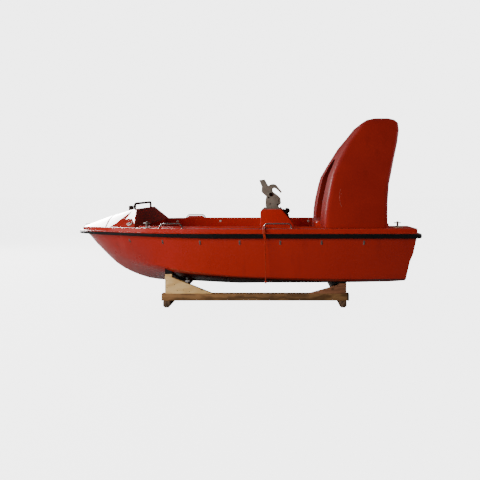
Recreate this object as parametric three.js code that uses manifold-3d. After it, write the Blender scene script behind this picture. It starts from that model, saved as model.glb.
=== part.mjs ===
// Open self-righting rescue boat of glass-reinforced plastic on its wooden cradle.
// Millimetres. Bow towards -X, port side towards -Y, +Z up.
// The origin lies on the floor below the middle of the boat.

import * as THREE from 'three';
import { ConvexGeometry } from 'three/addons/geometries/ConvexGeometry.js';
import { mergeVertices } from 'three/addons/utils/BufferGeometryUtils.js';
import Module from 'manifold-3d';

const wasm = await Module();
wasm.setup();

// Overall sizes of the hull and its deck
const BEAM_HALF = 905;
const BOW_START_X = -300;
const BOW_LENGTH = 1909;
const BOW_FULLNESS = 2.4;
const BOW_ROUNDNESS = 0.7;
const STERN_X = 2208;
const JOINT_Z = 943;
const DECK_Z = 998;
const DECK_ROUND = 10;
const FLANGE = { out: 41, thick: 8, lap: 4 };
const RIM = { wide: 28, rise: 14, x0: -1238, x1: 1094 };
const SHEER_DROOP = 45;
const DROOP_START_X = -1100;
const SEAT_GAP = 0.3;

// Cockpit, its benches and the well for the outboard motor
const BULKHEAD_X = -1250;
const COCKPIT_AFT_X = 1100;
const COAMING_HALF = 755;
const COAMING_INSET = 150;
const BENCH_Z = 790;
const SOLE_Z = 540;
const SOLE_HALF = 480;
const NICHE_HALF = 330;
const NICHE_AFT_X = 1520;
const WELL_HALF = 500;
const WELL_FRONT_X = 1900;
const WELL_FLOOR_Z = 600;
const MOTOR_SILL_X = 2095;
const MOTOR_SILL_Z = 700;

// Fender strake round the hull
const FENDER_OUT = 43;
const FENDER_STERN_OUT = 44;
const FENDER_LOW_Z = 886;
const FENDER_THIN = { x0: -300, x1: -1100, keep: 0.66 };

// Console and recovery hook
const CONSOLE_HALF = 275;
const CONSOLE_TOP_Z = 1197;
const HOOK_BASE = 8;
const CHEEK_IN = 20;
const CHEEK_OUT = 32;
const CLAW_HALF = 14;
const HOOK_PIN = { x: 439, z: 1394, r: 14, head: 27 };

// Bow locker door
const DOOR = { half: 285, low: 598, high: 872, thick: 18, off: 5 };
const LOCKER = { half: 250, low: 630, high: 840, front: -1640 };
const DOOR_PIN = { x: BULKHEAD_X + 36, y: -300, r: 5 };

// Wooden cradle
const SLEEPER = { half: 700, height: 80, width: 90, chamfer: 22 };
const BEAM = { front: -914, aft: 1423, low: 80, high: 168, out: 680, thick: 60 };
const SADDLES = [
  { name: 'front', x0: -870, x1: -784, sleeper: -889, keelLow: 150, endLow: 412, step: 42, toe: 593 },
  { name: 'rear', x0: 1300, x1: 1391, sleeper: 1301, keelLow: 118, endLow: 298, step: 24, toe: -466 },
];

const PAINT = { color: 0xb2260f, roughness: 0.35, metalness: 0 };
const BLACK = { color: 0x141414, roughness: 0.7, metalness: 0 };
const STEEL = { color: 0xb9b7b2, roughness: 0.3, metalness: 1 };
const GALVANISED = { color: 0x7b6b5d, roughness: 0.6, metalness: 0.6 };
const PINE = { color: 0xc9ad80, roughness: 0.8, metalness: 0 };
const OLD_WOOD = { color: 0x6e5138, roughness: 0.85, metalness: 0 };
const ROPE = { color: 0xb5513a, roughness: 0.9, metalness: 0 };

const boat = new THREE.Group();

function addPiece(name, shape, finish) {
  const geometry = shape.isBufferGeometry ? shape : toGeometry(shape);
  const mesh = new THREE.Mesh(geometry, new THREE.MeshStandardMaterial(finish));
  mesh.name = name;
  boat.add(mesh);
}

function toSolid(geometry) {
  const bare = geometry.clone();
  bare.deleteAttribute('normal');
  bare.deleteAttribute('uv');
  const merged = mergeVertices(bare, 1e-3);
  const vertProperties = new Float32Array(merged.attributes.position.array);
  const triVerts = new Uint32Array(merged.index.array);
  return new wasm.Manifold(new wasm.Mesh({ numProp: 3, vertProperties, triVerts }));
}

function toGeometry(solid) {
  const mesh = solid.getMesh();
  const geometry = new THREE.BufferGeometry();
  geometry.setAttribute('position', new THREE.BufferAttribute(mesh.vertProperties, 3));
  geometry.setIndex(new THREE.BufferAttribute(mesh.triVerts, 1));
  geometry.computeVertexNormals();
  return geometry;
}

function outlineShape(points) {
  return new THREE.Shape(points.map(([a, b]) => new THREE.Vector2(a, b)));
}

// Outline in the X-Z plane, carried across the boat from y0 to y1
function acrossY(points, y0, y1) {
  const geometry = new THREE.ExtrudeGeometry(outlineShape(points), { depth: y1 - y0, bevelEnabled: false });
  geometry.rotateX(Math.PI / 2);
  geometry.translate(0, y1, 0);
  return toSolid(geometry);
}

// Outline in the Y-Z plane, carried along the boat from x0 to x1
function alongX(points, x0, x1) {
  const geometry = new THREE.ExtrudeGeometry(outlineShape(points), { depth: x1 - x0, bevelEnabled: false });
  const turn = new THREE.Matrix4().makeBasis(
    new THREE.Vector3(0, 1, 0),
    new THREE.Vector3(0, 0, 1),
    new THREE.Vector3(1, 0, 0),
  );
  geometry.applyMatrix4(turn);
  geometry.translate(x0, 0, 0);
  return toSolid(geometry);
}

// Outline in the X-Y plane, carried up from z0 to z1, its edges rounded by round
function upZ(points, z0, z1, round = 0) {
  const geometry = new THREE.ExtrudeGeometry(outlineShape(points), {
    depth: z1 - z0 - 2 * round,
    bevelEnabled: round > 0,
    bevelSize: round,
    bevelThickness: round,
    bevelOffset: -round,
    bevelSegments: 2,
  });
  geometry.translate(0, 0, z0 + round);
  return toSolid(geometry);
}

function block(x0, x1, y0, y1, z0, z1) {
  const geometry = new THREE.BoxGeometry(x1 - x0, y1 - y0, z1 - z0);
  geometry.translate((x0 + x1) / 2, (y0 + y1) / 2, (z0 + z1) / 2);
  return toSolid(geometry);
}

// Round bar along Y
function crossBar(x, z, radius, y0, y1, sides = 24) {
  const geometry = new THREE.CylinderGeometry(radius, radius, y1 - y0, sides);
  geometry.translate(x, (y0 + y1) / 2, z);
  return toSolid(geometry);
}

// Upright round bar
function upright(x, y, radius, z0, z1, sides = 20) {
  const geometry = new THREE.CylinderGeometry(radius, radius, z1 - z0, sides);
  geometry.rotateX(Math.PI / 2);
  geometry.translate(x, y, (z0 + z1) / 2);
  return toSolid(geometry);
}

// The same solid a little higher, or lower where rise is negative
function shifted(solid, rise) {
  const geometry = toGeometry(solid);
  geometry.translate(0, 0, rise);
  return toSolid(geometry);
}

// The same piece on the other side of the boat
function mirrored(solid) {
  const geometry = toGeometry(solid);
  geometry.scale(1, -1, 1);
  const corners = geometry.index.array;
  for (let i = 0; i < corners.length; i += 3) {
    [corners[i], corners[i + 1]] = [corners[i + 1], corners[i]];
  }
  return toSolid(geometry);
}

// Skin through rings of [x, y, z] points that run the same way round, closed by a cap at each end
function loft(rings) {
  const count = rings[0].length;
  const positions = rings.flat(2);
  const indices = [];
  for (let i = 0; i + 1 < rings.length; i += 1) {
    for (let j = 0; j < count; j += 1) {
      const a = i * count + j;
      const b = i * count + ((j + 1) % count);
      indices.push(a, b, a + count, b, b + count, a + count);
    }
  }
  const last = (rings.length - 1) * count;
  for (const [a, b, c] of capTriangles(rings[0])) {
    indices.push(a, c, b);
  }
  for (const [a, b, c] of capTriangles(rings[rings.length - 1])) {
    indices.push(last + a, last + b, last + c);
  }
  const geometry = new THREE.BufferGeometry();
  geometry.setAttribute('position', new THREE.Float32BufferAttribute(positions, 3));
  geometry.setIndex(indices);
  return toSolid(geometry);
}

// Triangles over one flat ring, which stands across X or lies level
function capTriangles(ring) {
  const level = ring.every((p) => Math.abs(p[2] - ring[0][2]) < 1e-6);
  const flat = ring.map((p) => (level ? new THREE.Vector2(p[0], p[1]) : new THREE.Vector2(p[1], p[2])));
  return THREE.ShapeUtils.triangulateShape(flat, []);
}

// Half-breadth of the boat at sheer height, widened all round by out
function sheerHalf(x, out = 0) {
  const u = Math.max(0, BOW_START_X - x) / (BOW_LENGTH + out);
  return (BEAM_HALF + out) * Math.max(0, 1 - u ** BOW_FULLNESS) ** BOW_ROUNDNESS;
}

// Stations from amidships to the stem, closer together towards the stem
function bowStations(out) {
  const steps = 20;
  return Array.from({ length: steps }, (_, i) => {
    const u = 1 - (1 - i / steps) ** 2;
    return BOW_START_X - (BOW_LENGTH + out) * u;
  });
}

// Fall of the sheer from its straight run down to the stem
function sheerDrop(x) {
  const stem = BOW_START_X - BOW_LENGTH;
  const run = Math.max(0, DROOP_START_X - x) / (DROOP_START_X - stem);
  return SHEER_DROOP * run ** 3;
}

// Half-breadths [x, half] from the stern to the stem, widened by out, the stern corner rounded by round
function sideLine(out, sternX, round) {
  const line = [];
  for (let i = 0; i <= 4; i += 1) {
    const angle = (Math.PI / 2) * (1 - i / 4);
    line.push([sternX - round + round * Math.sin(angle), BEAM_HALF + out - round + round * Math.cos(angle)]);
  }
  return [...line, ...bowStations(out).map((x) => [x, sheerHalf(x, out)])];
}

// Plan outline of the boat, widened all round by out
function planOutline(out, sternX, round) {
  const starboard = sideLine(out, sternX, round);
  const tip = [BOW_START_X - BOW_LENGTH - out, 0];
  const port = starboard.map(([x, y]) => [x, -y]).reverse();
  return [...starboard, tip, ...port];
}

// Inner edge of the deck and side walls round the cockpit
function coamingHalf(x) {
  return Math.min(COAMING_HALF, sheerHalf(x) - COAMING_INSET);
}

function cockpitOutline() {
  const side = [BULKHEAD_X, -1100, -950, -800, -600, -400].map((x) => [x, coamingHalf(x)]);
  const corner = 90;
  side.push([COCKPIT_AFT_X - corner, COAMING_HALF]);
  side.push([COCKPIT_AFT_X - corner * 0.3, COAMING_HALF - corner * 0.3]);
  side.push([COCKPIT_AFT_X, COAMING_HALF - corner]);
  return [...side, ...side.map(([x, y]) => [x, -y]).reverse()];
}

// Hull lines from the stem aft: x, height of the keel, half-breadth and height of the chine,
// height of the flat band below the chine
const HULL_LINES = [
  [-2210, 880, 8, 888, 2],
  [-2110, 820, 72, 852, 8],
  [-2000, 694, 110, 750, 18],
  [-1872, 560, 185, 672, 34],
  [-1700, 405, 285, 618, 54],
  [-1500, 297, 400, 585, 72],
  [-1250, 214, 545, 560, 84],
  [-1000, 190, 665, 527, 82],
  [-700, 180, 765, 488, 64],
  [-300, 158, 812, 447, 50],
  [-50, 146, 820, 424, 47],
  [300, 149, 822, 408, 45],
  [1000, 151, 822, 389, 45],
  [1500, 154, 820, 383, 38],
  [1800, 158, 819, 384, 28],
  [2250, 165, 818, 386, 28],
];
const KEEL_HALF = 20;
const BAND_SLOPE = 1.25;
const SKEG = { endX: 1800, topZ: 182, half: 300 };
const STERN_STATIONS = [2250, 1800, 1500, 1000, 600, 300, 0];

const hullLines = new THREE.CubicInterpolant(
  HULL_LINES.map((row) => row[0]),
  HULL_LINES.flatMap((row) => row.slice(1)),
  4,
);

// Lines of the hull at one station, with the lower edge of the chine band
function hullAt(x) {
  const [keel, chine, chineZ, band] = hullLines.evaluate(x);
  const step = Math.min(band * BAND_SLOPE, chine * 0.4);
  return { keel, chine, chineZ, lowHalf: chine - step, lowZ: chineZ - band };
}

function bothSides(side, x) {
  const ring = [...side, ...side.map(([y, z]) => [-y, z]).reverse()];
  return ring.map(([y, z]) => [x, y, z]);
}

function hullRing(x) {
  const s = hullAt(x);
  const side = [
    [Math.min(KEEL_HALF, s.chine * 0.4), s.keel],
    [s.lowHalf, s.lowZ],
    [s.chine, s.chineZ],
    [sheerHalf(x), JOINT_Z - sheerDrop(x)],
  ];
  return bothSides(side, x);
}

// Height of the hull bottom at a point inside the chine
function bottomZ(x, y) {
  const s = hullAt(x);
  const out = Math.abs(y);
  if (out > s.lowHalf) {
    return s.lowZ + ((s.chineZ - s.lowZ) * (out - s.lowHalf)) / (s.chine - s.lowHalf);
  }
  return s.keel + ((s.lowZ - s.keel) * Math.max(0, out - KEEL_HALF)) / (s.lowHalf - KEEL_HALF);
}

// Side view of the raked, slightly stepped transom
const TRANSOM = [
  [2063, 100],
  [2087, 378],
  [2123, 594],
  [2161, 700],
  [STERN_X - 8, JOINT_Z],
];

function cockpitVoid() {
  const upper = upZ(cockpitOutline(), BENCH_Z, DECK_Z + 20);
  const footwell = block(BULKHEAD_X, COCKPIT_AFT_X, -SOLE_HALF, SOLE_HALF, SOLE_Z, BENCH_Z + 1);
  const niche = block(COCKPIT_AFT_X - 1, NICHE_AFT_X, -NICHE_HALF, NICHE_HALF, SOLE_Z, DECK_Z + 20);
  return upper.add(footwell).add(niche);
}

function motorWellVoid() {
  const well = block(WELL_FRONT_X, MOTOR_SILL_X + 1, -WELL_HALF, WELL_HALF, WELL_FLOOR_Z, DECK_Z + 20);
  const sill = block(MOTOR_SILL_X, STERN_X + 200, -WELL_HALF, WELL_HALF, MOTOR_SILL_Z, DECK_Z + 20);
  return well.add(sill);
}

function makeHull() {
  const stations = [...STERN_STATIONS, ...bowStations(0)].reverse();
  const body = loft(stations.map(hullRing));
  const bowToTransom = acrossY([[-2400, 100], ...TRANSOM, [-2400, JOINT_Z]], -1000, 1000);
  const locker = block(LOCKER.front, BULKHEAD_X + 1, -LOCKER.half, LOCKER.half, LOCKER.low, LOCKER.high);
  const skegEnd = block(SKEG.endX, 2400, -SKEG.half, SKEG.half, 0, SKEG.topZ);
  const shell = body.intersect(bowToTransom).subtract(skegEnd);
  return shell.subtract(cockpitVoid()).subtract(motorWellVoid()).subtract(locker);
}

// Solid over the plan of the boat that follows the sheer, section being its half ring at one station
function alongSheer(out, round, section) {
  const tip = [BOW_START_X - BOW_LENGTH - out, 3];
  const stations = [...sideLine(out, STERN_X, round), tip].reverse();
  return loft(stations.map(([x, half]) => bothSides(section(half, sheerDrop(x)), x)));
}

function deckSection(half, drop) {
  const round = Math.min(DECK_ROUND, half * 0.5);
  const top = DECK_Z - drop;
  return [
    [half, JOINT_Z + SEAT_GAP + FLANGE.lap - drop],
    [half, top - round],
    [half - round * 0.3, top - round * 0.3],
    [half - round, top],
  ];
}

function flangeSection(half, drop) {
  const low = JOINT_Z + SEAT_GAP - drop;
  return [
    [half, low],
    [half, low + FLANGE.thick],
  ];
}

// Raised rim along one side of the cockpit
function makeRim() {
  const line = [RIM.x0, -1100, -950, -800, -600, -400, RIM.x1].map((x) => [x, coamingHalf(x)]);
  const inner = line.map(([x, y]) => [x, y - 6]);
  const outer = line.map(([x, y]) => [x, y + RIM.wide]).reverse();
  return upZ([...inner, ...outer], DECK_Z - 6, DECK_Z + RIM.rise);
}

// Low moulded pad inside the fore grab rail, on the starboard side only
function makeRailPad() {
  const profile = [
    [-948, DECK_Z - 6],
    [-948, DECK_Z],
    [-912, DECK_Z + 38],
    [-686, DECK_Z + 38],
    [-651, DECK_Z],
    [-651, DECK_Z - 6],
  ];
  return acrossY(profile, 820, 854);
}

function makeDeck() {
  const plate = alongSheer(0, 40, deckSection).add(alongSheer(FLANGE.out, 60, flangeSection));
  const rim = makeRim();
  const dressed = plate.add(rim).add(mirrored(rim)).add(makeRailPad());
  return dressed.subtract(cockpitVoid()).subtract(motorWellVoid());
}

// One side of the fender strake, from the stem to the edge of the motor well
function makeFender() {
  const outer = upZ(planOutline(FENDER_OUT, STERN_X + FENDER_STERN_OUT, 60), FENDER_LOW_Z, JOINT_Z - SEAT_GAP, 14);
  const inner = upZ(planOutline(SEAT_GAP, STERN_X - 7, 0.5), FENDER_LOW_Z - 1, JOINT_Z + 1);
  const centre = block(-2400, 2400, -SEAT_GAP / 2, 1000, 0, 2000);
  const wellEdge = block(2000, 2400, -WELL_HALF - 15, 0, 0, 2000);
  const strake = toGeometry(outer.subtract(inner).subtract(centre).subtract(wellEdge));
  const position = strake.attributes.position;
  const top = JOINT_Z - SEAT_GAP;
  for (let i = 0; i < position.count; i += 1) {
    const x = position.getX(i);
    const run = THREE.MathUtils.clamp((FENDER_THIN.x0 - x) / (FENDER_THIN.x0 - FENDER_THIN.x1), 0, 1);
    const keep = 1 - (1 - FENDER_THIN.keep) * run;
    position.setZ(i, top - (top - position.getZ(i)) * keep - sheerDrop(x));
  }
  return toSolid(strake);
}

// Peaked foredeck out to the gunwales, closed aft by the raked bulkhead
const CUDDY = { topFront: -1369, topAft: -1327, half: 370, topZ: 1208, crease: -1431, aft: -1217 };

function makeCuddy(deck) {
  const corner = (x, half, z) => [new THREE.Vector3(x, -half, z), new THREE.Vector3(x, half, z)];
  const base = [-2170, -2130, -1990, -1850, -1700, -1560, CUDDY.crease, CUDDY.aft].flatMap((x) => (
    corner(x, sheerHalf(x) - DECK_ROUND - 4, DECK_Z - sheerDrop(x))
  ));
  const ridge = [
    ...corner(-2100, 60, DECK_Z - 14),
    ...corner(-1735, 160, 1108),
    ...corner(CUDDY.topFront, CUDDY.half, CUDDY.topZ - 4),
    ...corner(CUDDY.topAft, CUDDY.half, CUDDY.topZ),
  ];
  return toSolid(new ConvexGeometry([...base, ...ridge])).subtract(shifted(deck, SEAT_GAP));
}

// Helmsman's arch above the deck. Sections: height, front, aft, half width, corner radius
const FIN_SECTIONS = [
  { z: DECK_Z + SEAT_GAP, front: 1100, aft: 1876, half: 830 },
  { z: 1165, front: 1112, aft: 1877, half: 826 },
  { z: 1315, front: 1133, aft: 1883, half: 812 },
  { z: 1537, front: 1180, aft: 1909, half: 775 },
  { z: 1656, front: 1212, aft: 1945, half: 735 },
  { z: 1852, front: 1311, aft: 2028, half: 570 },
  { z: 2083, front: 1448, aft: 2106, half: 465 },
  { z: 2255, front: 1586, aft: 2153, half: 380 },
  { z: 2359, front: 1664, aft: 2151, half: 345 },
  { z: 2403, front: 1732, aft: 2113, half: 320 },
  { z: 2424, front: 1812, aft: 2057, half: 290 },
];
const FIN_CORNER = 62;

// Level ring with four rounded corners, counter-clockwise seen from above
function roundedRing(s) {
  const r = Math.min(FIN_CORNER, 0.3 * (s.aft - s.front));
  const centres = [
    [s.aft - r, s.half - r, 0],
    [s.front + r, s.half - r, 1],
    [s.front + r, -s.half + r, 2],
    [s.aft - r, -s.half + r, 3],
  ];
  const ring = [];
  for (const [x, y, quarter] of centres) {
    for (let i = 0; i <= 4; i += 1) {
      const angle = (Math.PI / 2) * (quarter + i / 4);
      ring.push([x + r * Math.cos(angle), y + r * Math.sin(angle), s.z]);
    }
  }
  return ring;
}

function nicheVoid() {
  const outline = [];
  const springZ = 1560;
  outline.push([-NICHE_HALF, DECK_Z - 20]);
  outline.push([NICHE_HALF, DECK_Z - 20]);
  for (let i = 0; i <= 12; i += 1) {
    const angle = Math.PI * (i / 12);
    outline.push([NICHE_HALF * Math.cos(angle), springZ + 340 * Math.sin(angle)]);
  }
  const arch = alongX(outline, 900, 2100);
  const back = [
    [800, DECK_Z - 30],
    [NICHE_AFT_X, DECK_Z - 30],
    [1560, 1500],
    [1700, 1920],
    [800, 1920],
  ];
  return arch.intersect(acrossY(back, -NICHE_HALF - 5, NICHE_HALF + 5));
}

function makeFin() {
  return loft(FIN_SECTIONS.map(roundedRing)).subtract(nicheVoid());
}

function makeSole() {
  return block(BULKHEAD_X + 60, 1040, -SOLE_HALF + 20, SOLE_HALF - 20, SOLE_Z + SEAT_GAP, SOLE_Z + 12);
}

const SOLE_TOP = SOLE_Z + 12 + SEAT_GAP;
const DASH = { topX: 588, lowX: 714, lowZ: 1047 };

function makeConsole() {
  const profile = [
    [298, SOLE_TOP],
    [760, SOLE_TOP],
    [760, 945],
    [754, 988],
    [DASH.lowX, DASH.lowZ],
    [DASH.topX, CONSOLE_TOP_Z],
    [345, CONSOLE_TOP_Z],
    [309, CONSOLE_TOP_Z - 13],
    [298, CONSOLE_TOP_Z - 36],
  ];
  return acrossY(profile, -CONSOLE_HALF, CONSOLE_HALF);
}

function makeSeat() {
  const foot = SOLE_Z + SEAT_GAP;
  const profile = [
    [1050, foot],
    [1050, 1020],
    [1075, 1045],
    [NICHE_AFT_X - 20, 1045],
    [NICHE_AFT_X - 20, foot],
  ];
  return acrossY(profile, -NICHE_HALF + 8, NICHE_HALF - 8);
}

// Recovery hook on the console
const CHEEK_OUTLINE = [
  [371, CONSOLE_TOP_Z + HOOK_BASE + 2 * SEAT_GAP],
  [562, CONSOLE_TOP_Z + HOOK_BASE + 2 * SEAT_GAP],
  [541, 1233],
  [581, 1270],
  [573, 1345],
  [527, 1389],
  [476, 1425],
  [439, 1433],
  [400, 1420],
  [371, 1364],
  [362, 1314],
  [362, 1240],
];

function makeHookBase() {
  const z = CONSOLE_TOP_Z + SEAT_GAP;
  return block(340, 584, -75, 75, z, z + HOOK_BASE);
}

function makeCheek() {
  const plate = acrossY(CHEEK_OUTLINE, -CHEEK_OUT, -CHEEK_IN);
  const pinHole = crossBar(HOOK_PIN.x, HOOK_PIN.z, HOOK_PIN.r + SEAT_GAP, -50, 50);
  const safetyHole = crossBar(434, 1259, 12, -50, 50);
  const slot = block(540, 556, -50, 50, 1283, 1325);
  return plate.subtract(pinHole).subtract(safetyHole).subtract(slot);
}

// Release lock, closed in between the cheeks
function makeHookLock() {
  const foot = CONSOLE_TOP_Z + HOOK_BASE + 2 * SEAT_GAP;
  const profile = [
    [385, foot],
    [535, foot],
    [560, 1262],
    [558, 1335],
    [500, 1335],
    [480, 1295],
    [385, 1295],
  ];
  return acrossY(profile, -CHEEK_IN + SEAT_GAP, CHEEK_IN - SEAT_GAP);
}

const CLAW_OUTLINE = [
  [371, 1374],
  [308, 1431],
  [312, 1505],
  [276, 1596],
  [348, 1603],
  [398, 1514],
  [418, 1524],
  [448, 1537],
  [480, 1539],
  [508, 1528],
  [542, 1490],
  [590, 1431],
  [578, 1417],
  [542, 1452],
  [510, 1481],
  [490, 1489],
  [470, 1485],
  [455, 1468],
  [460, 1443],
  [478, 1404],
  [464, 1362],
  [420, 1354],
];

function makeClaw() {
  const plate = acrossY(CLAW_OUTLINE, -CLAW_HALF, CLAW_HALF);
  return plate.subtract(crossBar(HOOK_PIN.x, HOOK_PIN.z, HOOK_PIN.r + 0.6, -50, 50));
}

function makeHookPin() {
  const shank = crossBar(HOOK_PIN.x, HOOK_PIN.z, HOOK_PIN.r, -44, 44);
  const face = CHEEK_OUT + SEAT_GAP;
  const nearHead = crossBar(HOOK_PIN.x, HOOK_PIN.z, HOOK_PIN.head, -44, -face);
  const farHead = crossBar(HOOK_PIN.x, HOOK_PIN.z, HOOK_PIN.head, face, 44);
  return shank.add(nearHead).add(farHead);
}

// Point on the sloping dash, run millimetres down it and lift above it
function onDash(run, lift) {
  const fall = Math.atan2(CONSOLE_TOP_Z - DASH.lowZ, DASH.lowX - DASH.topX);
  const x = DASH.topX + run * Math.cos(fall) + lift * Math.sin(fall);
  return [x, CONSOLE_TOP_Z - run * Math.sin(fall) + lift * Math.cos(fall)];
}

// Remote control lever on the starboard side of the dash
function makeControl() {
  const foot = [onDash(30, SEAT_GAP), onDash(150, SEAT_GAP), onDash(145, 20), onDash(35, 20)];
  const lever = [onDash(60, 10), onDash(110, 10), onDash(125, 45), onDash(106, 74), onDash(69, 76), onDash(43, 49)];
  return acrossY(foot, 120, 190).add(acrossY(lever, 138, 172));
}

// Handrail of round tube between two feet: each leg leans in by lean, bend is the run of each bend
function railBar(feet, lift, lean, bend, radius) {
  const [a, b] = feet;
  const along = b.clone().sub(a).normalize();
  const up = new THREE.Vector3(0, 0, lift);
  const corners = [a.clone().add(up).addScaledVector(along, lean), b.clone().add(up).addScaledVector(along, -lean)];
  const legEnds = [a, b].map((foot, i) => {
    const leg = foot.clone().sub(corners[i]).normalize();
    return corners[i].clone().addScaledVector(leg, bend);
  });
  const gripEnds = [
    corners[0].clone().addScaledVector(along, bend),
    corners[1].clone().addScaledVector(along, -bend),
  ];
  const path = new THREE.CurvePath();
  path.add(new THREE.LineCurve3(a, legEnds[0]));
  path.add(new THREE.QuadraticBezierCurve3(legEnds[0], corners[0], gripEnds[0]));
  path.add(new THREE.LineCurve3(gripEnds[0], gripEnds[1]));
  path.add(new THREE.QuadraticBezierCurve3(gripEnds[1], corners[1], legEnds[1]));
  path.add(new THREE.LineCurve3(legEnds[1], b));
  const section = new THREE.Shape();
  section.absarc(0, 0, radius, 0, Math.PI * 2);
  return toSolid(new THREE.ExtrudeGeometry(section, { steps: 40, curveSegments: 6, extrudePath: path }));
}

const RAIL_RADIUS = 9;
const RAIL_LIFT = 54;
const RAIL_Y = 838;
// Grab rails on the side decks: side, ends, lean of the legs and run of the bends
const GUNWALE_RAILS = [
  { name: 'handrail_fore_port', side: -1, x0: -904, x1: -605, lean: 38, bend: 20 },
  { name: 'handrail_fore_starboard', side: 1, x0: -968, x1: -631, lean: 42, bend: 20 },
  { name: 'handrail_mid_port', side: -1, x0: 373, x1: 698, lean: 2, bend: 40 },
  { name: 'handrail_mid_starboard', side: 1, x0: 373, x1: 698, lean: 2, bend: 40 },
];

function makeGunwaleRail(r) {
  const sunk = DECK_Z - 10;
  const a = new THREE.Vector3(r.x0, r.side * RAIL_Y, sunk);
  const b = new THREE.Vector3(r.x1, r.side * RAIL_Y, sunk);
  const deckTop = block(-1200, 1200, -BEAM_HALF, BEAM_HALF, DECK_Z - 60, DECK_Z + SEAT_GAP);
  return railBar([a, b], RAIL_LIFT + 10, r.lean, r.bend, RAIL_RADIUS).subtract(deckTop);
}

const CUDDY_RAIL = { x: -1372, half: 332, foot: 1180, lift: 96, radius: 11 };

// Grip across the top of the bulkhead, its feet cut to the sloping foredeck
function makeCuddyRail(cuddy) {
  const { x, half, foot, lift, radius } = CUDDY_RAIL;
  const a = new THREE.Vector3(x, -half, foot);
  const b = new THREE.Vector3(x, half, foot);
  return railBar([a, b], lift, 10, 26, radius).subtract(shifted(cuddy, SEAT_GAP));
}

// Low bitt with a cross pin on the ridge of the foredeck
function makeBowBitt(cuddy) {
  const post = block(-1566, -1520, -24, 24, 1120, 1236);
  const pin = crossBar(-1543, 1212, 9, -62, 62);
  return post.add(pin).subtract(shifted(cuddy, SEAT_GAP));
}

function makeMooringPost(x, y) {
  const foot = DECK_Z + SEAT_GAP;
  const plate = block(x - 45, x + 45, y - 30, y + 30, foot, foot + 6);
  const post = upright(x, y, 13, foot, foot + 74);
  const bar = new THREE.CylinderGeometry(6, 6, 84, 12);
  bar.rotateZ(Math.PI / 2);
  bar.translate(x, y, foot + 56);
  return plate.add(post).add(toSolid(bar));
}

// Rope lanyard that hangs from the fore leg of the grab rail amidships: x, y, z along its route
const LANYARD_RADIUS = 5;
const LANYARD_ROUTE = [
  [373, -847.6, 1012],
  [372.6, -868, 1011.6],
  [372, -888, 1010.5],
  [371, -906, 1006.5],
  [370, -922, 999],
  [369.5, -935, 988],
  [369.5, -945, 975],
  [370.5, -952, 960],
  [373, -956, 944],
  [377, -958, 926],
  [381, -958.5, 906],
  [384, -958.5, 884],
  [385.5, -958, 860],
  [386, -957.5, 830],
  [386.5, -957, 795],
  [387, -957, 755],
  [388, -957, 710],
  [389, -957, 660],
  [390, -957, 605],
  [391, -957, 545],
  [392, -957, 480],
  [393, -957, 425],
  [394, -957, 374],
];

function makeLanyard() {
  const route = new THREE.CatmullRomCurve3(LANYARD_ROUTE.map((p) => new THREE.Vector3(...p)), false, 'centripetal');
  const section = new THREE.Shape();
  section.absarc(0, 0, LANYARD_RADIUS, 0, Math.PI * 2);
  return toSolid(new THREE.ExtrudeGeometry(section, { steps: 34, curveSegments: 4, extrudePath: route }));
}

// Wooden cradle
function makeSleeper(s) {
  const { half, height, width, chamfer } = SLEEPER;
  const profile = [
    [s.sleeper, chamfer],
    [s.sleeper + chamfer, 0],
    [s.sleeper + width - chamfer, 0],
    [s.sleeper + width, chamfer],
    [s.sleeper + width, height],
    [s.sleeper, height],
  ];
  return acrossY(profile, -half, half);
}

function makeBeam() {
  return block(BEAM.front, BEAM.aft, -BEAM.out, -BEAM.out + BEAM.thick, BEAM.low + SEAT_GAP, BEAM.high);
}

// Rubber-faced V under the keel, its top shaped by the hull that lies on it
function makeSaddle(s, hull) {
  const topZ = (y) => Math.max(bottomZ(s.x0, y), bottomZ(s.x1, y)) + 20;
  const top = [-BEAM.out, -KEEL_HALF, KEEL_HALF, BEAM.out].map((y) => [y, topZ(y)]);
  const low = [
    [BEAM.out, s.endLow],
    [KEEL_HALF, s.keelLow],
    [-KEEL_HALF, s.keelLow],
    [-BEAM.out, s.endLow],
  ];
  return alongX([...top, ...low].reverse(), s.x0, s.x1).subtract(shifted(hull, -SEAT_GAP));
}

// Board on edge that carries the end of a saddle on the beam and slopes down to its toe
function makeGusset(s, saddle) {
  const low = BEAM.high + SEAT_GAP;
  const fore = s.name === 'front';
  const outer = fore ? s.x0 : s.x1;
  const shelf = fore ? s.x1 : s.x0;
  const profile = [
    [outer, low],
    [outer, s.endLow],
    [shelf, s.endLow],
    [shelf, s.endLow - s.step],
    [outer + s.toe, low],
  ];
  const board = acrossY(profile, -BEAM.out, -BEAM.out + BEAM.thick - 20);
  return board.subtract(shifted(saddle, -SEAT_GAP));
}

function makeKeelBlock(s) {
  const x0 = Math.max(s.x0, s.sleeper);
  const x1 = Math.min(s.x1, s.sleeper + SLEEPER.width);
  return block(x0, x1, -90, 90, SLEEPER.height + SEAT_GAP, s.keelLow - SEAT_GAP);
}

// Door of the bow locker, hinged on its port edge
function makeDoor() {
  const x0 = BULKHEAD_X + DOOR.off;
  const panel = block(x0, x0 + DOOR.thick, -DOOR.half, DOOR.half, DOOR.low, DOOR.high);
  const knuckles = [DOOR.low + 40, DOOR.high - 80].map((z) => {
    const leaf = block(x0 + DOOR.thick - 6, DOOR_PIN.x + 5, DOOR_PIN.y, -DOOR.half + 30, z, z + 40);
    return leaf.add(upright(DOOR_PIN.x, DOOR_PIN.y, 10, z, z + 40));
  });
  const bore = upright(DOOR_PIN.x, DOOR_PIN.y, DOOR_PIN.r + 0.4, DOOR.low, DOOR.high);
  return panel.add(knuckles[0]).add(knuckles[1]).subtract(bore);
}

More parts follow.
